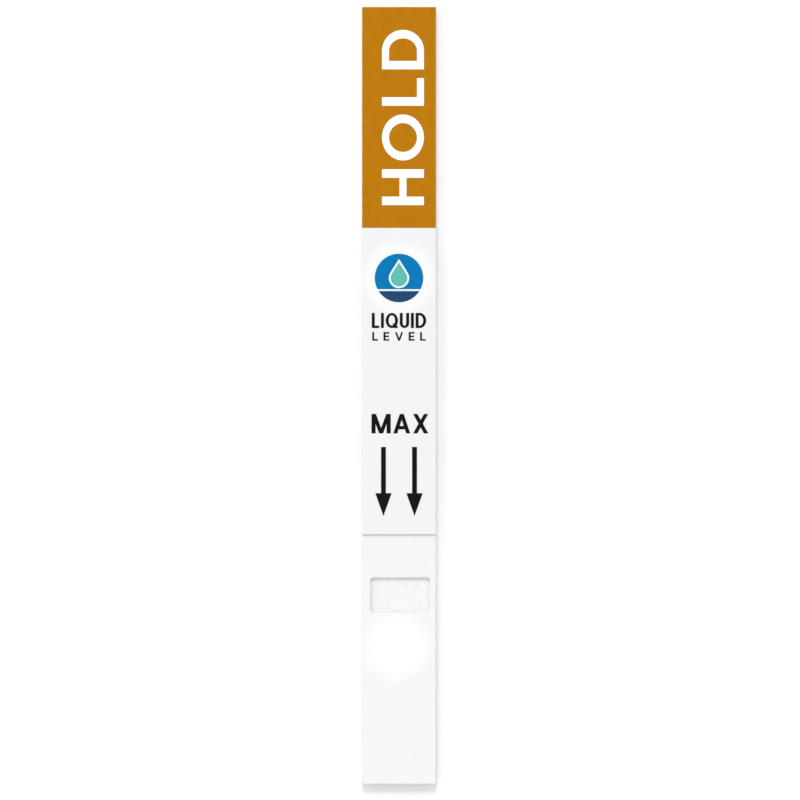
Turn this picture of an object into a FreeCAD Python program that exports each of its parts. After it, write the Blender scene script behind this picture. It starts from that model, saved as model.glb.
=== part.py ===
import FreeCAD, Part
import math
import os

# A lateral-flow dip strip: pads and a membrane on a white card, laminated, then cut to width.
# It lies flat. X runs across the strip, +Y towards the end it is held by, +Z up.
# The origin is the centre of the card's underside. All sizes are in millimetres.

# Outline: three zones end to end, and the width the strip was cut to
strip_width = 7.6
handle_length = 22.75
film_length = 31.55
dip_length = 25.7
dip_corner_radius = 0.2

# Layers
card_thickness = 0.3
membrane_thickness = 0.2
conjugate_thickness = 0.35
sample_pad_thickness = 0.42
cover_thickness = 0.35
label_thickness = 0.22
ink_thickness = 0.02

# How far each layer reaches over or under the next one, along the strip
cover_tuck = 3.0
cover_to_conjugate = 1.8
sample_overlap = 2.5
conjugate_length = 8.0
conjugate_overlap = 2.0
absorbent_overlap = 2.0
film_on_absorbent = 2.75
pad_ramp = 0.5

# Sample window, die-cut in the cover
window_rim_left = 0.87
window_rim_right = 0.61
window_below_film = 4.45
window_height = 3.63
window_corner_radius = 0.35

# Rounding that the knife leaves on the cut edges of the top layers
cover_edge_round = 0.08
label_edge_round = 0.05

# Lettering on the handle, read from the dipping end upwards
handle_word_end_gap = 2.35
handle_word_left_gap = 2.05
handle_word_right_gap = 1.23
handle_word_stroke = 0.88

# Symbol under the handle: a disc with a drop over a liquid
symbol_below_handle = 2.65
symbol_radius = 2.5
symbol_gap = 0.2
drop_radius = 0.85
drop_height = 2.45
drop_above_liquid = 0.3
liquid_depth = 1.15

# Two words under the symbol
liquid_word_below_symbol = 1.1
liquid_word_height = 1.55
liquid_word_side_gap = 1.0
liquid_word_stroke = 0.3
level_word_below = 0.42
level_word_height = 0.88
level_word_side_gap = 1.05
level_word_stroke = 0.19

# Fill mark: a word over two arrows that point to the dipping end
arrow_tip_above_film_end = 1.9
arrow_length = 7.1
arrow_head_length = 2.34
arrow_head_width = 1.68
arrow_shaft_width = 0.5
arrow_spacing = 3.2
max_word_above_arrows = 1.4
max_word_height = 2.0
max_word_left_gap = 0.97
max_word_right_gap = 0.76
max_word_stroke = 0.42

# Letter widths and the space between letters, as shares of one another
letter_share = {
    "A": 0.93, "D": 0.86, "E": 0.62, "H": 0.78, "I": 0.23, "L": 0.6,
    "M": 1.05, "O": 1.0, "Q": 1.0, "U": 0.76, "V": 0.88, "X": 0.86,
}
handle_letter_space = 0.19
liquid_letter_space = 0.15
level_letter_space = 0.6
max_letter_space = 0.14

# Level strokes of a letter are thinner than its uprights
level_stroke_share = 0.82

# Places along the strip
strip_length = handle_length + film_length + dip_length
handle_end = strip_length / 2
dip_end = -strip_length / 2
half_width = strip_width / 2
label_low = handle_end - handle_length
film_low = label_low - film_length
cover_high = film_low + cover_tuck
conjugate_low = cover_high + cover_to_conjugate
conjugate_high = conjugate_low + conjugate_length
sample_high = conjugate_low + sample_overlap
membrane_low = conjugate_high - conjugate_overlap
absorbent_low = label_low - film_on_absorbent
membrane_high = absorbent_low + absorbent_overlap

# Heights of the seams between layers: all the pads are rolled down to one height under the film
card_top = card_thickness
membrane_top = card_top + membrane_thickness
sample_pad_top = card_top + sample_pad_thickness
cover_top = sample_pad_top + cover_thickness
film_seat = cover_top
film_top = film_seat + label_thickness


def polygon(points):
    """A flat face through (x, y) corners at z 0, given anticlockwise."""
    corners = [FreeCAD.Vector(x, y, 0) for x, y in points]
    return Part.Face(Part.makePolygon(corners + corners[:1]))


def rectangle(x_low, y_low, x_high, y_high):
    return polygon([(x_low, y_low), (x_high, y_low), (x_high, y_high), (x_low, y_high)])


def ellipse(x, y, x_radius, y_radius):
    """A flat elliptical face; the curve takes its longer axis first."""
    centre = FreeCAD.Vector(x, y, 0)
    right = FreeCAD.Vector(x + x_radius, y, 0)
    top = FreeCAD.Vector(x, y + y_radius, 0)
    left = FreeCAD.Vector(x - x_radius, y, 0)
    if abs(x_radius - y_radius) < 1e-6:
        curve = Part.Circle(centre, FreeCAD.Vector(0, 0, 1), x_radius)
    elif x_radius > y_radius:
        curve = Part.Ellipse(right, top, centre)
    else:
        curve = Part.Ellipse(top, left, centre)
    return Part.Face(Part.Wire(curve.toShape()))


def merged(faces):
    """One face from overlapping flat faces, without the seams between them."""
    return faces[0].multiFuse(faces[1:]).removeSplitter() if len(faces) > 1 else faces[0]


def across_strip(profile):
    """A layer: its (y, z) section along the strip, carried across the whole width."""
    corners = [FreeCAD.Vector(-half_width, y, z) for y, z in profile]
    section = Part.Face(Part.makePolygon(corners + corners[:1]))
    return section.extrude(FreeCAD.Vector(strip_width, 0, 0))


def round_dip_corners(layer):
    """Rounds the two upright corners at the dipping end."""
    corners = []
    for edge in layer.Edges:
        ends = [vertex.Point for vertex in edge.Vertexes]
        upright = abs(ends[0].x - ends[-1].x) < 1e-6 and abs(ends[0].y - ends[-1].y) < 1e-6
        if upright and abs(ends[0].y - dip_end) < 1e-6:
            corners.append(edge)
    return layer.makeFillet(dip_corner_radius, corners)


def round_top_edges(layer, top, radius, wanted):
    """Rounds the top edges whose middle passes the test wanted(x, y)."""
    edges = []
    for edge in layer.Edges:
        box = edge.BoundBox
        level = abs(box.ZMin - top) < 1e-6 and abs(box.ZMax - top) < 1e-6
        if level and wanted(box.Center.x, box.Center.y):
            edges.append(edge)
    return layer.makeFillet(radius, edges)


def backing_card():
    """White rigid card, as long and as wide as the strip."""
    card = across_strip([(dip_end, 0), (handle_end, 0), (handle_end, card_top), (dip_end, card_top)])
    return round_dip_corners(card)


def membrane():
    """Cast nitrocellulose on clear film, in one piece, stuck to the card."""
    return across_strip([
        (membrane_low, card_top), (membrane_high, card_top),
        (membrane_high, membrane_top), (membrane_low, membrane_top),
    ])


def conjugate_pad():
    """Glass-fibre pad that starts on the card and climbs onto the membrane's lower end."""
    foot = membrane_low - pad_ramp
    return across_strip([
        (conjugate_low, card_top), (foot, card_top),
        (membrane_low, membrane_top), (conjugate_high, membrane_top),
        (conjugate_high, membrane_top + conjugate_thickness),
        (membrane_low, membrane_top + conjugate_thickness),
        (foot, card_top + conjugate_thickness), (conjugate_low, card_top + conjugate_thickness),
    ])


def sample_pad():
    """Thick cotton pad from the dipping end, climbing onto the conjugate pad, pressed to the seat."""
    foot = conjugate_low - pad_ramp
    conjugate_top = card_top + conjugate_thickness
    pad = across_strip([
        (dip_end, card_top), (foot, card_top),
        (conjugate_low, conjugate_top), (sample_high, conjugate_top),
        (sample_high, film_seat), (conjugate_low, film_seat),
        (foot, sample_pad_top), (dip_end, sample_pad_top),
    ])
    return round_dip_corners(pad)


def absorbent_pad():
    """Thick wick under the handle label, from over the membrane's upper end to the strip's end."""
    foot = membrane_high + pad_ramp
    return across_strip([
        (absorbent_low, membrane_top), (membrane_high, membrane_top),
        (foot, card_top), (handle_end, card_top),
        (handle_end, film_seat), (absorbent_low, film_seat),
    ])


def window_cutter():
    """Upright block with round corners, as large as the sample window."""
    low_x = -half_width + window_rim_left
    high_x = half_width - window_rim_right
    high_y = film_low - window_below_film
    block = Part.makeBox(
        high_x - low_x, window_height, 3 * cover_thickness,
        FreeCAD.Vector(low_x, high_y - window_height, sample_pad_top - cover_thickness),
    )
    uprights = [edge for edge in block.Edges if edge.BoundBox.ZLength > 2 * cover_thickness]
    return block.makeFillet(window_corner_radius, uprights)


def sample_cover():
    """White sheet over the sample pad, tucked under the film, with a window that bares the pad."""
    sheet = round_dip_corners(across_strip([
        (dip_end, sample_pad_top), (cover_high, sample_pad_top),
        (cover_high, cover_top), (dip_end, cover_top),
    ]))
    sheet = sheet.cut(window_cutter())
    radius = min(cover_edge_round, 0.4 * cover_thickness)
    return round_top_edges(sheet, cover_top, radius, lambda x, y: y < cover_high - 1e-6)


def top_film(low, high, rounded_end):
    """A flat strip of film on the seat, with its two sides and one end rounded."""
    film = across_strip([(low, film_seat), (high, film_seat), (high, film_top), (low, film_top)])
    radius = min(label_edge_round, 0.4 * label_thickness)
    middle = (low + high) / 2

    def outer(x, y):
        return abs(y - rounded_end) < 1e-6 or abs(y - middle) < 1e-6

    return round_top_edges(film, film_top, radius, outer)


def letter(name, width, height, stroke):
    """One capital as a flat face, in a box of width by height from the origin."""
    thin = level_stroke_share * stroke
    middle = width / 2
    box = rectangle(0, 0, width, height)

    def upright(x):
        return rectangle(x, 0, x + stroke, height)

    def level(y, x_low=0, x_high=width):
        return rectangle(x_low, y, x_high, y + thin)

    def half_foot(run):
        return 0.46 * stroke * math.hypot(1, run / height)

    def slant(low_x, high_x):
        foot = half_foot(high_x - low_x)
        return polygon([
            (low_x - foot, 0), (low_x + foot, 0), (high_x + foot, height), (high_x - foot, height),
        ])

    def bowl(x, y, x_radius, y_radius, block):
        """An ellipse joined to a block, less the same pair drawn a stroke further in."""
        low_x, low_y, high_x, high_y, open_top = block
        outer = merged([rectangle(low_x, low_y, high_x, high_y), ellipse(x, y, x_radius, y_radius)])
        inner_top = high_y if open_top else high_y - thin
        inner_right = high_x - stroke if open_top else high_x
        inner_low = low_y if open_top else low_y + thin
        block_inside = rectangle(low_x + stroke, inner_low, inner_right, inner_top)
        curve_inside = ellipse(x, y, x_radius - stroke, y_radius - thin)
        inner = merged([block_inside, curve_inside.common(rectangle(stroke, 0, width, height))])
        return outer.common(box).cut(inner)

    if name == "D":
        bow = min(0.62 * width, height / 2)
        return bowl(width - bow, height / 2, bow, height / 2, (0, 0, width - bow, height, False))
    if name == "U":
        return bowl(middle, middle, middle, middle, (0, middle, width, height, True))
    if name in ("O", "Q"):
        outer = ellipse(middle, height / 2, middle, height / 2)
        inner = ellipse(middle, height / 2, middle - stroke, height / 2 - thin)
        if name == "O":
            return outer.cut(inner)
        tail_top = 0.3 * height
        tail_x = 0.56 * width
        tail = polygon([
            (width - 1.3 * stroke, 0), (width, 0), (tail_x + 1.3 * stroke, tail_top), (tail_x, tail_top),
        ])
        return merged([outer, tail]).cut(inner.cut(tail))
    if name == "M":
        valley = [slant(middle, 0.6 * stroke), slant(middle, width - 0.6 * stroke)]
        return merged([upright(0), upright(width - stroke)] + valley).common(box)
    if name == "A":
        foot = half_foot(middle)
        bar_y = 0.21 * height
        bar_x = foot + (middle - foot) * bar_y / height
        return merged([
            slant(foot, middle), slant(width - foot, middle), level(bar_y, bar_x, width - bar_x),
        ])
    if name == "V":
        foot = half_foot(middle)
        return merged([slant(middle, foot), slant(middle, width - foot)])
    if name == "X":
        foot = half_foot(width)
        return merged([slant(foot, width - foot), slant(width - foot, foot)])
    bars = {
        "E": [upright(0), level(0), level((height - thin) / 2, 0, 0.92 * width), level(height - thin)],
        "H": [upright(0), upright(width - stroke), level((height - thin) / 2)],
        "I": [upright(middle - stroke / 2)],
        "L": [upright(0), level(0)],
    }
    return merged(bars[name])


def word(text, length, height, stroke, space):
    """A row of ink letters from the origin along +X, each a separate solid, length long in all."""
    shares = [letter_share[name] for name in text]
    unit = length / (sum(shares) + space * (len(text) - 1))
    solids = []
    x = 0.0
    for name, share in zip(text, shares):
        solid = letter(name, share * unit, height, stroke).extrude(FreeCAD.Vector(0, 0, ink_thickness))
        solid.translate(FreeCAD.Vector(x, 0, 0))
        solids.append(solid)
        x += (share + space) * unit
    return Part.makeCompound(solids)


def word_across(text, side_gaps, low_y, height, stroke, space):
    """A word printed across the film, side_gaps = (left, right) from the edges of the strip."""
    left_gap, right_gap = side_gaps
    row = word(text, strip_width - left_gap - right_gap, height, stroke, space)
    row.translate(FreeCAD.Vector(-half_width + left_gap, low_y, film_top))
    return row


def handle_lettering():
    """The large word on the handle, turned so that it reads from the dipping end upwards."""
    length = handle_length - 2 * handle_word_end_gap
    height = strip_width - handle_word_left_gap - handle_word_right_gap
    row = word("HOLD", length, height, handle_word_stroke, handle_letter_space)
    row.rotate(FreeCAD.Vector(0, 0, 0), FreeCAD.Vector(0, 0, 1), 90)
    row.translate(FreeCAD.Vector(half_width - handle_word_right_gap, label_low + handle_word_end_gap, film_top))
    return row


symbol_y = label_low - symbol_below_handle - symbol_radius
liquid_top = symbol_y - symbol_radius + liquid_depth
drop_y = liquid_top + symbol_gap + drop_above_liquid + drop_radius


def drop(radius, height):
    """Flat drop: a circle that two tangent lines close to a point, height tall in all."""
    point_y = height - radius
    turn = math.asin(radius / point_y)
    side_x = radius * math.cos(turn)
    side_y = radius * math.sin(turn)
    point = FreeCAD.Vector(0, point_y, 0)
    right = FreeCAD.Vector(side_x, side_y, 0)
    left = FreeCAD.Vector(-side_x, side_y, 0)
    bottom = FreeCAD.Vector(0, -radius, 0)
    outline = Part.Wire([
        Part.LineSegment(point, left).toShape(), Part.Arc(left, bottom, right).toShape(),
        Part.LineSegment(right, point).toShape(),
    ])
    shape = Part.Face(outline)
    shape.translate(FreeCAD.Vector(0, drop_y, 0))
    return shape


def inked(shape):
    """A flat face turned into a film of ink on top of the marking film."""
    solid = shape.extrude(FreeCAD.Vector(0, 0, ink_thickness))
    solid.translate(FreeCAD.Vector(0, 0, film_top))
    return solid


def symbol_disc():
    """Upper part of the symbol's disc, with room left bare round the drop."""
    disc = ellipse(0, symbol_y, symbol_radius, symbol_radius)
    above = rectangle(-symbol_radius, liquid_top + symbol_gap, symbol_radius, symbol_y + symbol_radius)
    room = drop(drop_radius + symbol_gap, drop_height * (1 + symbol_gap / drop_radius))
    return inked(disc.common(above).cut(room))


def symbol_drop():
    return inked(drop(drop_radius, drop_height))


def symbol_liquid():
    """Lower segment of the disc, parted from the rest by a bare line."""
    disc = ellipse(0, symbol_y, symbol_radius, symbol_radius)
    return inked(disc.common(rectangle(
        -symbol_radius, symbol_y - symbol_radius, symbol_radius, liquid_top)))


def level_lettering():
    """Two words under the symbol."""
    liquid_y = symbol_y - symbol_radius - liquid_word_below_symbol - liquid_word_height
    level_y = liquid_y - level_word_below - level_word_height
    rows = [
        word_across("LIQUID", (liquid_word_side_gap, liquid_word_side_gap), liquid_y,
                    liquid_word_height, liquid_word_stroke, liquid_letter_space),
        word_across("LEVEL", (level_word_side_gap, level_word_side_gap), level_y,
                    level_word_height, level_word_stroke, level_letter_space),
    ]
    return Part.makeCompound([solid for row in rows for solid in row.Solids])


arrow_tip_y = film_low + arrow_tip_above_film_end


def max_arrows():
    """Two arrows side by side, pointing down to the dipping end."""
    arrows = []
    for side in (-1, 1):
        x = side * arrow_spacing / 2
        neck_y = arrow_tip_y + arrow_head_length
        shaft = arrow_shaft_width / 2
        head = arrow_head_width / 2
        arrows.append(inked(polygon([
            (x, arrow_tip_y), (x + head, neck_y), (x + shaft, neck_y), (x + shaft, arrow_tip_y + arrow_length),
            (x - shaft, arrow_tip_y + arrow_length), (x - shaft, neck_y), (x - head, neck_y),
        ])))
    return Part.makeCompound(arrows)


def max_lettering():
    """The word over the arrows."""
    low_y = arrow_tip_y + arrow_length + max_word_above_arrows
    return word_across("MAX", (max_word_left_gap, max_word_right_gap), low_y,
                       max_word_height, max_word_stroke, max_letter_space)


sub_parts = {
    "backing_card": backing_card(),
    "test_membrane": membrane(),
    "conjugate_pad": conjugate_pad(),
    "sample_pad": sample_pad(),
    "absorbent_pad": absorbent_pad(),
    "sample_cover": sample_cover(),
    "marking_film": top_film(film_low, label_low, film_low),
    "handle_label": top_film(label_low, handle_end, handle_end),
    "handle_lettering": handle_lettering(),
    "symbol_disc": symbol_disc(),
    "symbol_drop": symbol_drop(),
    "symbol_liquid": symbol_liquid(),
    "level_lettering": level_lettering(),
    "max_lettering": max_lettering(),
    "max_arrows": max_arrows(),
}

os.makedirs("parts", exist_ok=True)
for name, shape in sub_parts.items():
    shape.exportStep(f"parts/{name}.step")
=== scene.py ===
import math
import random

import bmesh
import bpy
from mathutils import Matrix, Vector, noise


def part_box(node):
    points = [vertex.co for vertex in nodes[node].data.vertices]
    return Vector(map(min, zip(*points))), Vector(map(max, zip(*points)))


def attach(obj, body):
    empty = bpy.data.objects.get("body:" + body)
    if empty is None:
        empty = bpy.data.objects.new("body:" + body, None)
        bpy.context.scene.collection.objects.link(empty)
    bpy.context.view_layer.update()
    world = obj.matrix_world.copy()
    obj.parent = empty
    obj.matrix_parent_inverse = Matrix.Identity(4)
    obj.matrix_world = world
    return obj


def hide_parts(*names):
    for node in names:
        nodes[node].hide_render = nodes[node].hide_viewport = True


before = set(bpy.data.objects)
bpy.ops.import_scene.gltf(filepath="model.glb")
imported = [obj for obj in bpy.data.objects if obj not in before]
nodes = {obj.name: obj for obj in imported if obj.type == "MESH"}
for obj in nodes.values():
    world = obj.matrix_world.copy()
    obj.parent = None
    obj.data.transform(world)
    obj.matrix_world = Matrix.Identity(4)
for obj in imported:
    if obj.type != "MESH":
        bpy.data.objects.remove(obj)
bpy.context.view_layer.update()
MM = 0.001

# Backing card
# A rigid white PVC sheet, 0.3 mm thick, with adhesive on its upper face. The whole strip is
# built up on it, and a guillotine then cuts the card and the layers on it together.


def linear(hex_colour):
    """An sRGB hex colour as the linear RGBA that shaders take."""
    parts = [int(hex_colour[i:i + 2], 16) / 255 for i in (1, 3, 5)]
    return [p / 12.92 if p <= 0.04045 else ((p + 0.055) / 1.055) ** 2.4 for p in parts] + [1.0]


def add_node(material, kind, inputs=None, stops=(), **settings):
    """Adds a shader node. An input is a value or a node's output; stops are a ramp's colours."""
    node = material.node_tree.nodes.new(kind)
    for name, value in settings.items():
        setattr(node, name, value)
    for name, value in (inputs or {}).items():
        if isinstance(value, bpy.types.NodeSocket):
            material.node_tree.links.new(value, node.inputs[name])
        else:
            node.inputs[name].default_value = value
    if stops:
        elements = node.color_ramp.elements
        for _ in stops[len(elements):]:
            elements.new(0.5)
        for element, (position, colour) in zip(elements, stops):
            element.position = position
            element.color = linear(colour)
    return node


def surface(name, roughness, ior, specular=0.5):
    """A material, its shader, and the Object coordinates that its patterns follow."""
    material = bpy.data.materials.new(name)
    material.use_nodes = True
    shader = material.node_tree.nodes["Principled BSDF"]
    shader.inputs["Roughness"].default_value = roughness
    shader.inputs["IOR"].default_value = ior
    shader.inputs["Specular IOR Level"].default_value = specular
    place = add_node(material, "ShaderNodeTexCoord").outputs["Object"]
    return material, shader, place


def coat(material, shader, colour, relief, depth_mm):
    """Puts a colour pattern and a relief pattern, depth_mm deep, on a material."""
    links = material.node_tree.links
    links.new(colour, shader.inputs["Base Color"])
    bump = add_node(material, "ShaderNodeBump", {"Height": relief, "Distance": depth_mm * MM})
    links.new(bump.outputs["Normal"], shader.inputs["Normal"])


def with_shaded_cut_sides(material, place, node_name, layers, face_colour):
    """The face's colour, and on upright sides the bared layers, lowest first, greyed as painted
    shade.
    """
    upright_up_to, level_from = 0.1, 0.3
    low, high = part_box(node_name)
    height = add_node(material, "ShaderNodeSeparateXYZ", {"Vector": place}).outputs["Z"]
    share = add_node(material, "ShaderNodeMapRange", {
        "Value": height, "From Min": low.z, "From Max": high.z,
    }).outputs["Result"]
    bared_and_shaded = add_node(material, "ShaderNodeValToRGB", {"Fac": share}, stops=layers).outputs["Color"]
    turned = add_node(material, "ShaderNodeNewGeometry").outputs["True Normal"]
    upward = add_node(material, "ShaderNodeSeparateXYZ", {"Vector": turned}).outputs["Z"]
    tilt = add_node(material, "ShaderNodeMath", {0: upward}, operation="ABSOLUTE").outputs["Value"]
    level = add_node(material, "ShaderNodeMapRange", {
        "Value": tilt, "From Min": upright_up_to, "From Max": level_from,
    }).outputs["Result"]
    return add_node(material, "ShaderNodeMix", {
        "Factor": level, "A": bared_and_shaded, "B": face_colour,
    }, data_type="RGBA").outputs["Result"]


def clad(node_name, material):
    """Gives a CAD node its finish."""
    mesh = nodes[node_name].data
    mesh.materials.clear()
    mesh.materials.append(material)


# Rolled PVC is satin and very even. A cut bares its core, marked upright by the knife, and the
# adhesive as a darker line on top. The grey of the cut sides is painted shade, which also deepens
# the shadow at the strip's foot. The real knife marks and roll grain are under 0.05 mm across, too
# fine to show, and are drawn coarser.
card_low, card_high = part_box("backing_card")
knife_mark_mm, knife_mark_length_mm, roll_grain_mm = 0.12, 0.9, 0.6
card_sides_and_shade = [(0.0, "#C6C9C8"), (0.86, "#CCCFCE"), (0.92, "#A8A79E"), (1.0, "#A8A79E")]
rolled_pvc, shader, place = surface("rolled_white_pvc_card", roughness=0.42, ior=1.53)
along_the_marks = add_node(rolled_pvc, "ShaderNodeMapping", {
    "Vector": place,
    "Scale": (0.0, 1 / (knife_mark_mm * MM), 1 / (knife_mark_length_mm * MM)),
}).outputs["Vector"]
knife_marks = add_node(rolled_pvc, "ShaderNodeTexNoise", {
    "Vector": along_the_marks, "Scale": 1.0, "Detail": 2.0,
}).outputs["Fac"]
roll_grain = add_node(rolled_pvc, "ShaderNodeTexNoise", {
    "Vector": place, "Scale": 1 / (roll_grain_mm * MM),
}).outputs["Fac"]
relief = add_node(rolled_pvc, "ShaderNodeMath", {
    0: knife_marks, 1: roll_grain,
}, operation="ADD").outputs["Value"]
rolled_face = add_node(rolled_pvc, "ShaderNodeValToRGB", {"Fac": roll_grain}, stops=[
    (0.3, "#ECEDEC"), (0.7, "#F1F2F1"),
]).outputs["Color"]
colour = with_shaded_cut_sides(rolled_pvc, place, "backing_card", card_sides_and_shade, rolled_face)
coat(rolled_pvc, shader, colour, relief, depth_mm=0.004)
clad("backing_card", rolled_pvc)


# Test membrane
# Nitrocellulose cast as a white sponge on a clear polyester film, sold and cut as one sheet.
# The card's adhesive holds it by the film.

# Cast nitrocellulose is dead matte and a warm white. The film below it, the lower half of the
# sheet, is a greyer band at the cut edge. The real pores are about 0.01 mm wide, too fine to
# show, and are drawn coarser.
pore_mm = 0.15
membrane_low, membrane_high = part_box("test_membrane")
nitrocellulose, shader, place = surface("cast_nitrocellulose", roughness=0.95, ior=1.5)
height = add_node(nitrocellulose, "ShaderNodeSeparateXYZ", {"Vector": place}).outputs["Z"]
film_to_face = add_node(nitrocellulose, "ShaderNodeMapRange", {
    "Value": height, "From Min": membrane_low.z, "From Max": membrane_high.z,
}).outputs["Result"]
pores = add_node(nitrocellulose, "ShaderNodeTexNoise", {
    "Vector": place, "Scale": 1 / (pore_mm * MM), "Detail": 4.0,
}).outputs["Fac"]
colour = add_node(nitrocellulose, "ShaderNodeValToRGB", {"Fac": film_to_face}, stops=[
    (0.0, "#D9DEE0"), (0.46, "#DFE4E5"), (0.52, "#F8F8F5"), (1.0, "#FAFAF7"),
]).outputs["Color"]
coat(nitrocellulose, shader, colour, pores, depth_mm=0.01)
clad("test_membrane", nitrocellulose)


# Conjugate pad
# Thin glass-fibre felt, laid over the membrane's lower end. The coloured reagent is sprayed on
# it as a band and dried. Its sides are cut with the card, and short fibres stand out there.


def felt_copy(node_name, piece_name, cell_mm, layer_mm, sink_mm, seed):
    """A copy of a pad's solid, cut into small cells whose points sink by up to sink_mm."""
    merge_mm, on_the_cut_mm = 0.0005, 0.00001
    lump_mm = (0.25, 0.25, 0.05)
    shape = bmesh.new()
    shape.from_mesh(nodes[node_name].data)
    bmesh.ops.remove_doubles(shape, verts=shape.verts, dist=merge_mm * MM)
    low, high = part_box(node_name)
    for axis, step_mm in enumerate((cell_mm, cell_mm, layer_mm)):
        across = Vector([axis == i for i in range(3)])
        count = max(1, round((high[axis] - low[axis]) / (step_mm * MM)))
        for i in range(1, count):
            point = across * (low[axis] + (high[axis] - low[axis]) * i / count)
            everything = shape.verts[:] + shape.edges[:] + shape.faces[:]
            bmesh.ops.bisect_plane(
                shape, geom=everything, dist=on_the_cut_mm * MM, plane_co=point, plane_no=across,
            )
    shape.normal_update()
    own_lumps = Vector((seed, 2.3 * seed, 0.7 * seed))  # each pad's own place in the noise
    for vert in shape.verts:
        lie = Vector([vert.co[axis] / (lump_mm[axis] * MM) for axis in range(3)])
        share = 0.5 + 0.5 * noise.noise(lie + own_lumps)
        vert.co += vert.normal * (-sink_mm * MM * share)
    mesh = bpy.data.meshes.new(piece_name)
    shape.to_mesh(mesh)
    shape.free()
    mesh.shade_smooth()
    piece = bpy.data.objects.new(piece_name, mesh)
    bpy.context.scene.collection.objects.link(piece)
    return piece


def fibres(piece_name, starts, thickness_mm, draw_path):
    """Hairs, one from each start, along the path that draw_path gives for it."""
    curve = bpy.data.curves.new(piece_name, "CURVE")
    curve.dimensions = "3D"
    curve.bevel_depth = thickness_mm * MM / 2
    curve.bevel_resolution = 0  # four sides are enough for a hair
    curve.resolution_u = 3
    curve.use_fill_caps = True
    for start in starts:
        path = draw_path(*start)
        spline = curve.splines.new("NURBS")
        spline.points.add(len(path) - 1)
        for point, spot in zip(spline.points, path):
            point.co = (*spot, 1)
        spline.order_u = 3
        spline.use_endpoint_u = True
    drawn = bpy.data.objects.new(piece_name, curve)
    mesh = bpy.data.meshes.new_from_object(drawn)
    bpy.data.objects.remove(drawn)
    piece = bpy.data.objects.new(piece_name, mesh)
    bpy.context.scene.collection.objects.link(piece)
    return piece


def cut_edge_fibres(pad, piece_name, per_mm2, length_mm, thickness_mm, seed):
    """Hairs rooted in a pad's cut sides, which stand a little out and lie back along them."""
    least_proud_mm, usual_proud_mm, most_proud_mm = 0.005, 0.02, 0.05
    shortest, usual, longest = 0.4, 0.7, 1.6  # as shares of length_mm
    root_mm, most_slope, upright_up_to = 0.05, 0.25, 0.3
    draw = random.Random(seed)
    corners = [Vector(corner) for corner in pad.bound_box]
    proud = Vector((most_proud_mm * MM, most_proud_mm * MM, -thickness_mm * MM))
    furthest_low, furthest_high = corners[0] - proud, corners[6] + proud
    cut = [face for face in pad.data.polygons if abs(face.normal.z) < upright_up_to]
    areas = [face.area for face in cut]
    count = round(sum(areas) / MM ** 2 * per_mm2)
    picked = [
        (face.center.copy(), face.normal.copy()) for face in draw.choices(cut, areas, k=count)
    ]

    def path(root, normal):
        normal = Vector((normal.x, normal.y, 0)).normalized()
        along = normal.cross(Vector((0, 0, 1))) * draw.choice((-1, 1))
        along = (along + Vector((0, 0, draw.uniform(-most_slope, most_slope)))).normalized()
        reach = draw.triangular(shortest, longest, usual) * length_mm * MM
        stand = draw.triangular(least_proud_mm, most_proud_mm, usual_proud_mm) * MM
        shares_out_and_along = [(0.6, 0.1), (1, 0.5), (draw.uniform(-0.4, 1.1), 1)]
        points = [root - normal * root_mm * MM]
        for out, on in shares_out_and_along:
            points.append(root + normal * stand * out + along * reach * on)
        for point in points:
            for axis in range(3):
                point[axis] = min(max(point[axis], furthest_low[axis]), furthest_high[axis])
        return points

    return fibres(piece_name, picked, thickness_mm, path)


conjugate_low, conjugate_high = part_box("conjugate_pad")
conjugate_felt = felt_copy(
    "conjugate_pad", "conjugate_felt", cell_mm=0.2, layer_mm=0.05, sink_mm=0.018, seed=11,
)
conjugate_hairs = cut_edge_fibres(
    conjugate_felt, "conjugate_hairs", per_mm2=8, length_mm=0.35, thickness_mm=0.014, seed=12,
)

# Glass felt is matte and a little lumpy. The dried reagent gives it a rose band that is deepest
# in the middle, turns pale at both ends, and is ragged where it followed the clumps of fibre.
clump_mm, ragged_share = 0.2, 0.16
glass_felt, shader, place = surface("glass_felt_with_dried_reagent", roughness=0.92, ior=1.5)
along = add_node(glass_felt, "ShaderNodeSeparateXYZ", {"Vector": place}).outputs["Y"]
end_to_end = add_node(glass_felt, "ShaderNodeMapRange", {
    "Value": along, "From Min": conjugate_low.y, "From Max": conjugate_high.y,
}).outputs["Result"]
clumps = add_node(glass_felt, "ShaderNodeTexNoise", {
    "Vector": place, "Scale": 1 / (clump_mm * MM), "Detail": 5.0,
}).outputs["Fac"]
ragged = add_node(glass_felt, "ShaderNodeMath", {
    0: clumps, 1: ragged_share, 2: end_to_end,
}, operation="MULTIPLY_ADD").outputs["Value"]
colour = add_node(glass_felt, "ShaderNodeValToRGB", {"Fac": ragged}, stops=[
    (0.1, "#F3F0F0"), (0.26, "#EBDADE"), (0.5, "#E5CBD1"), (0.78, "#EBDADE"), (0.95, "#F3F0F0"),
]).outputs["Color"]
coat(glass_felt, shader, colour, clumps, depth_mm=0.02)
for piece in (conjugate_felt, conjugate_hairs):
    piece.data.materials.append(glass_felt)
    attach(piece, "root")
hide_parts("conjugate_pad")


# Sample pad
# Thick white cotton linter paper that takes up the liquid, laid over the conjugate pad. It is
# the floor of the cover's window, where loose fibres lie crossed on it.

# Pressed cotton is matte and soft, with flocks about half a millimetre across that differ by a
# shade, and with a fuzz of single fibres wherever it is cut.
flock_mm, cotton_fibre_mm = 0.45, 0.018
cotton_paper, shader, place = surface("cotton_linter_paper", roughness=0.96, ior=1.47)
flocks = add_node(cotton_paper, "ShaderNodeTexNoise", {
    "Vector": place, "Scale": 1 / (flock_mm * MM), "Detail": 6.0, "Roughness": 0.6,
}).outputs["Fac"]
colour = add_node(cotton_paper, "ShaderNodeValToRGB", {"Fac": flocks}, stops=[
    (0.3, "#E9EAEA"), (0.7, "#EDEDED"),
]).outputs["Color"]
coat(cotton_paper, shader, colour, flocks, depth_mm=0.02)

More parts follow.
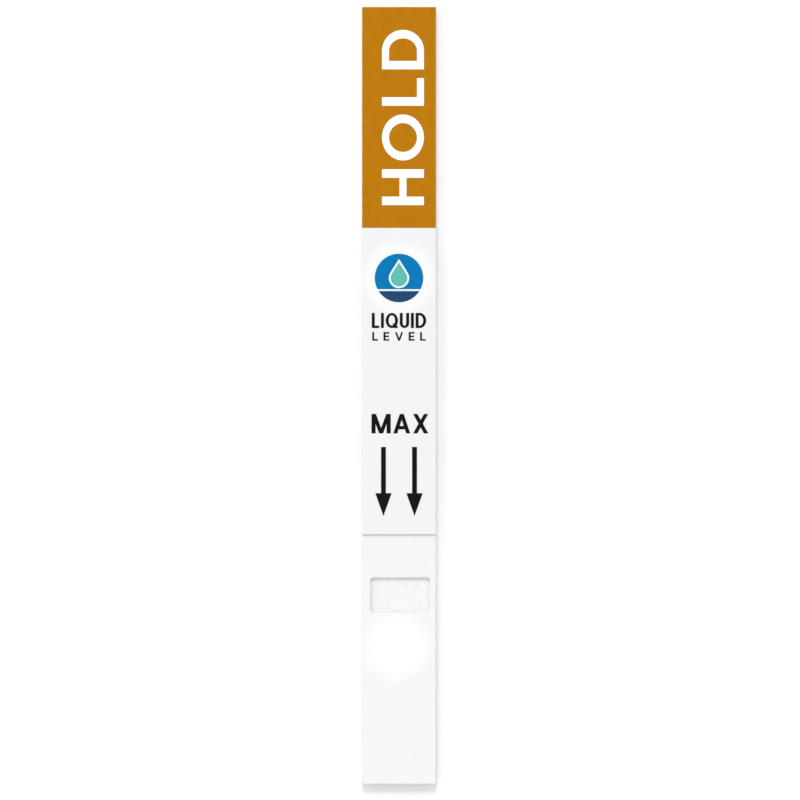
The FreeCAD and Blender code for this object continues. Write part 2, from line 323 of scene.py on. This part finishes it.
sample_felt = felt_copy(
    "sample_pad", "sample_pad_paper", cell_mm=0.2, layer_mm=0.06, sink_mm=0.022, seed=21,
)
sample_hairs = cut_edge_fibres(
    sample_felt, "sample_pad_hairs",
    per_mm2=7, length_mm=0.45, thickness_mm=cotton_fibre_mm, seed=22,
)

# The cover's window, and the loose fibres that lie on the pad in it. A fibre bends by up to
# most_bend, in radians, at each of its points.
cover_low, cover_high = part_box("sample_cover")
film_low, film_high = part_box("marking_film")
window_left_rim_mm, window_right_rim_mm = 0.87, 0.61
window_below_film_mm, window_height_mm = 4.45, 3.63
window_top = film_low.y - window_below_film_mm * MM
window_low = Vector((
    card_low.x + window_left_rim_mm * MM, window_top - window_height_mm * MM, cover_low.z,
))
window_high = Vector((card_high.x - window_right_rim_mm * MM, window_top, cover_low.z))
window_size = window_high - window_low
lying_per_mm2, lying_points = 12, 5
shortest_step_mm, longest_step_mm = 0.12, 0.35
most_bend, least_sunk_mm, edge_gap_mm = 0.5, 0.003, 0.05
draw_lying = random.Random(23)
lying_count = round(window_size.x * window_size.y / MM ** 2 * lying_per_mm2)
lying_starts = []
for _ in range(lying_count):
    across, up = draw_lying.random(), draw_lying.random()
    lying_starts.append((window_low + Vector((window_size.x * across, window_size.y * up, 0)),))


def lying_path(start):
    """A fibre pressed flat on the pad, gently curved, and moved in where it would pass the edge."""
    heading = draw_lying.uniform(0, 2 * math.pi)
    step = draw_lying.uniform(shortest_step_mm, longest_step_mm) * MM
    path = []
    point = start.copy()
    for _ in range(lying_points):
        sunk = draw_lying.uniform(-cotton_fibre_mm, -least_sunk_mm) * MM
        path.append(point + Vector((0, 0, sunk)))
        heading += draw_lying.uniform(-most_bend, most_bend)
        point = point + Vector((math.cos(heading), math.sin(heading), 0)) * step
    for axis in (0, 1):
        short = window_low[axis] + edge_gap_mm * MM - min(spot[axis] for spot in path)
        over = max(spot[axis] for spot in path) - (window_high[axis] - edge_gap_mm * MM)
        for spot in path:
            spot[axis] += max(short, 0) - max(over, 0)
    return path


window_fibres = fibres("sample_window_fibres", lying_starts, cotton_fibre_mm, lying_path)
for piece in (sample_felt, sample_hairs, window_fibres):
    piece.data.materials.append(cotton_paper)
    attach(piece, "root")
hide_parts("sample_pad")


# Absorbent pad
# The thickest layer, the same cotton paper in a heavier weight, which draws the liquid along.
# The label hides it, apart from its cut edges at the handle end.

absorbent_felt = felt_copy(
    "absorbent_pad", "absorbent_pad_paper", cell_mm=0.22, layer_mm=0.07, sink_mm=0.025, seed=31,
)
absorbent_hairs = cut_edge_fibres(
    absorbent_felt, "absorbent_pad_hairs",
    per_mm2=6, length_mm=0.5, thickness_mm=cotton_fibre_mm, seed=32,
)
for piece in (absorbent_felt, absorbent_hairs):
    piece.data.materials.append(cotton_paper)
    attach(piece, "root")
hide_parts("absorbent_pad")


# Sample cover
# A white polypropylene sheet, laid on the sample pad and tucked under the printed film. The
# window is punched out of it with round corners and a soft rim, and below the window the sheet
# is paler in a round patch.


def away_from(material, place, centre, inner, outer):
    """0 within inner of a point, 1 beyond outer, and a soft change between them."""
    offset = add_node(material, "ShaderNodeMapping", {
        "Vector": place, "Location": -centre,
    }).outputs["Vector"]
    distance = add_node(material, "ShaderNodeVectorMath", {
        "Vector": offset,
    }, operation="LENGTH").outputs["Value"]
    return add_node(material, "ShaderNodeMapRange", {
        "Value": distance, "From Min": inner, "From Max": outer,
    }, interpolation_type="SMOOTHSTEP").outputs["Result"]


# Calendered polypropylene is smooth, with a faint unevenness from the rolls, and the patch in
# it fades out with no edge. The sheet, the films and the inks are matted: they mirror the room
# less than their IOR alone would give, which is what the low specular level stands for.
matted = 0.2
calender_mm = 1.2
patch_below_window_mm, patch_left_of_middle_mm = 3.42, 0.26
patch_solid_mm, patch_faded_mm = 2.1, 4.3
patch_white = linear("#F1F2F1")
# The cover's upright cut sides are a shade greyer than its face: painted shade.
cover_sides_and_shade = [(0.0, "#DCDEDD"), (1.0, "#E5E7E6")]
patch = Vector((
    -patch_left_of_middle_mm * MM, window_low.y - patch_below_window_mm * MM, cover_high.z,
))
polypropylene, shader, place = surface(
    "calendered_white_polypropylene", roughness=0.5, ior=1.49, specular=matted,
)
calender = add_node(polypropylene, "ShaderNodeTexNoise", {
    "Vector": place, "Scale": 1 / (calender_mm * MM), "Detail": 3.0,
}).outputs["Fac"]
smooth_face = add_node(polypropylene, "ShaderNodeValToRGB", {"Fac": calender}, stops=[
    (0.3, "#E8E9E8"), (0.7, "#EAEBEA"),
]).outputs["Color"]
off_the_patch = away_from(
    polypropylene, place, patch, patch_solid_mm * MM, patch_faded_mm * MM,
)
patched_face = add_node(polypropylene, "ShaderNodeMix", {
    "Factor": off_the_patch, "A": patch_white, "B": smooth_face,
}, data_type="RGBA").outputs["Result"]
colour = with_shaded_cut_sides(polypropylene, place, "sample_cover", cover_sides_and_shade, patched_face)
coat(polypropylene, shader, colour, calender, depth_mm=0.004)
clad("sample_cover", polypropylene)


# Marking film
# White polyester film with adhesive below, printed before it is laid on. It runs from the cover
# to the handle label, and bridges flat over the membrane from one pad to the next.

# Polyester film is satin and a cooler white than the cover, very slightly wavy along the web.
# A denser white ground is printed under the symbol and fades out round it. At the cut edges a
# warm grey line of adhesive shows under the film's core, whose grey is painted shade.
web_wave_mm = 1.5
ground_solid_mm, ground_faded_mm = 0.6, 1.75
laminate_sides_and_shade = [(0.0, "#A8A79E"), (0.22, "#ACABA2"), (0.3, "#C3C6C8"), (1.0, "#D3D6D8")]
symbol_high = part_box("symbol_disc")[1]
symbol_radius = symbol_high.x
symbol = Vector((0, symbol_high.y - symbol_radius, film_high.z))
polyester, shader, place = surface(
    "white_polyester_film", roughness=0.38, ior=1.57, specular=matted,
)
off_the_ground = away_from(
    polyester, place, symbol,
    symbol_radius + ground_solid_mm * MM, symbol_radius + ground_faded_mm * MM,
)
web = add_node(polyester, "ShaderNodeTexNoise", {
    "Vector": place, "Scale": 1 / (web_wave_mm * MM), "Detail": 2.0,
}).outputs["Fac"]
printed_face = add_node(polyester, "ShaderNodeValToRGB", {"Fac": off_the_ground}, stops=[
    (0.0, "#EEEFEF"), (1.0, "#E6E8EA"),
]).outputs["Color"]
colour = with_shaded_cut_sides(polyester, place, "marking_film", laminate_sides_and_shade, printed_face)
coat(polyester, shader, colour, web, depth_mm=0.003)
clad("marking_film", polyester)


# Handle label
# The same film, flooded with ochre ink before it is cut, over the end where the strip is held.
# The knife bares its white core at the cut edges, drawn grey there as painted shade.

# Flooded ink is a strong, almost even ochre, with a faint mottle just under a millimetre across.
mottle_mm = 0.8
ochre_film, shader, place = surface(
    "ochre_printed_film", roughness=0.3, ior=1.52, specular=matted,
)
mottle = add_node(ochre_film, "ShaderNodeTexNoise", {
    "Vector": place, "Scale": 1 / (mottle_mm * MM), "Detail": 5.0,
}).outputs["Fac"]
flooded_face = add_node(ochre_film, "ShaderNodeValToRGB", {"Fac": mottle}, stops=[
    (0.3, "#B27200"), (0.7, "#B87702"),
]).outputs["Color"]
colour = with_shaded_cut_sides(ochre_film, place, "handle_label", laminate_sides_and_shade, flooded_face)
coat(ochre_film, shader, colour, mottle, depth_mm=0.003)
clad("handle_label", ochre_film)


# Print
# Screen-printed inks, each a thin raised coat on the label or the film. The symbol is a drop
# over a liquid, for the end that is dipped, and the arrows point to that end.

# Screen ink is an even colour with a soft gloss, and its skin keeps a trace of the screen. The
# threads of a real screen are about 0.1 mm apart, and the trace is drawn coarser, to show.
screen_trace_mm = 0.35


def ink(name, thin, full, roughness):
    """An ink of two close tones, with the skin that a print screen leaves."""
    material, shader, place = surface(name, roughness=roughness, ior=1.5, specular=matted)
    skin = add_node(material, "ShaderNodeTexNoise", {
        "Vector": place, "Scale": 1 / (screen_trace_mm * MM), "Detail": 4.0,
    }).outputs["Fac"]
    colour = add_node(material, "ShaderNodeValToRGB", {"Fac": skin}, stops=[
        (0.3, thin), (0.7, full),
    ]).outputs["Color"]
    coat(material, shader, colour, skin, depth_mm=0.004)
    return material


clad("handle_lettering", ink("white_screen_ink", "#FBFAF7", "#FFFEFC", roughness=0.5))
clad("symbol_disc", ink("blue_screen_ink", "#0071AD", "#0077B5", roughness=0.3))
clad("symbol_drop", ink("teal_screen_ink", "#58B4AA", "#60BAB0", roughness=0.3))
clad("symbol_liquid", ink("navy_screen_ink", "#1C4266", "#20496F", roughness=0.3))
black_ink = ink("black_screen_ink", "#0C0F10", "#090B0C", roughness=0.32)
for node_name in ("level_lettering", "max_lettering", "max_arrows"):
    clad(node_name, black_ink)


# Table, light and camera
# A plain white table, a large soft lamp from the handle end, a touch to the left, and a white
# room. The camera looks straight down, without perspective.

table_half_side_m = 1.5
table_shape = bmesh.new()
bmesh.ops.create_grid(table_shape, x_segments=1, y_segments=1, size=table_half_side_m)
table_mesh = bpy.data.meshes.new("table")
table_shape.to_mesh(table_mesh)
table_shape.free()
table = bpy.data.objects.new("table", table_mesh)
bpy.context.scene.collection.objects.link(table)
table_white, shader, _ = surface("white_table", roughness=0.9, ior=1.45)
shader.inputs["Base Color"].default_value = linear("#F9F9F9")
table_mesh.materials.append(table_white)

softbox_distance_m = 4.8
toward_softbox = Vector((-0.09, 1.0, 1.0)).normalized()
softbox_light = bpy.data.lights.new("key_softbox", "AREA")
softbox_light.shape = "RECTANGLE"
softbox_light.size = 1.2
softbox_light.size_y = 2.1
softbox_light.energy = 86.4
softbox = bpy.data.objects.new("key_softbox", softbox_light)
softbox.location = toward_softbox * softbox_distance_m
softbox.rotation_euler = toward_softbox.to_track_quat("Z", "Y").to_euler()
bpy.context.scene.collection.objects.link(softbox)

# The room is dimmer straight above, at the horizon and on its right side, and is lit up from
# the floor. That gives the strip its soft contact shadow, and a faint wider one on the right.
room = bpy.data.worlds.new("white_room")
room.use_nodes = True
direction = add_node(room, "ShaderNodeTexCoord").outputs["Generated"]
toward = add_node(room, "ShaderNodeSeparateXYZ", {"Vector": direction})
from_below = add_node(room, "ShaderNodeMapRange", {
    "Value": toward.outputs["Z"], "From Min": -1.0, "From Max": 1.0,
}).outputs["Result"]
by_height = add_node(room, "ShaderNodeValToRGB", {"Fac": from_below}, stops=[
    (0.49, "#FFFFFF"), (0.5, "#959595"), (0.8, "#FFFFFF"), (0.875, "#FFFFFF"), (0.975, "#6C6C6C"),
]).outputs["Color"]
from_left = add_node(room, "ShaderNodeMapRange", {
    "Value": toward.outputs["X"], "From Min": -1.0, "From Max": 1.0,
}).outputs["Result"]
by_side = add_node(room, "ShaderNodeValToRGB", {"Fac": from_left}, stops=[
    (0.3, "#FFFFFF"), (0.75, "#E8E8E8"),
]).outputs["Color"]
walls = add_node(room, "ShaderNodeMix", {
    "Factor": 1.0, "A": by_height, "B": by_side,
}, data_type="RGBA", blend_type="MULTIPLY").outputs["Result"]
room_light = room.node_tree.nodes["Background"]
room.node_tree.links.new(walls, room_light.inputs["Color"])
room_light.inputs["Strength"].default_value = 1.43
bpy.context.scene.world = room
bpy.context.scene.view_settings.view_transform = "Standard"

# The picture is 800 px square, and in it the strip is 777 px long with its middle at these px.
picture_px, strip_px, strip_centre_px = 800, 777, (399, 395.5)
camera_height_m = 0.3
metres_per_px = (card_high.y - card_low.y) / strip_px
camera_data = bpy.data.cameras.new("camera")
camera_data.type = "ORTHO"
camera_data.ortho_scale = picture_px * metres_per_px
camera = bpy.data.objects.new("camera", camera_data)
camera.location = (
    (picture_px / 2 - strip_centre_px[0]) * metres_per_px,
    (strip_centre_px[1] - picture_px / 2) * metres_per_px,
    camera_height_m,
)
bpy.context.scene.collection.objects.link(camera)
bpy.context.scene.camera = camera
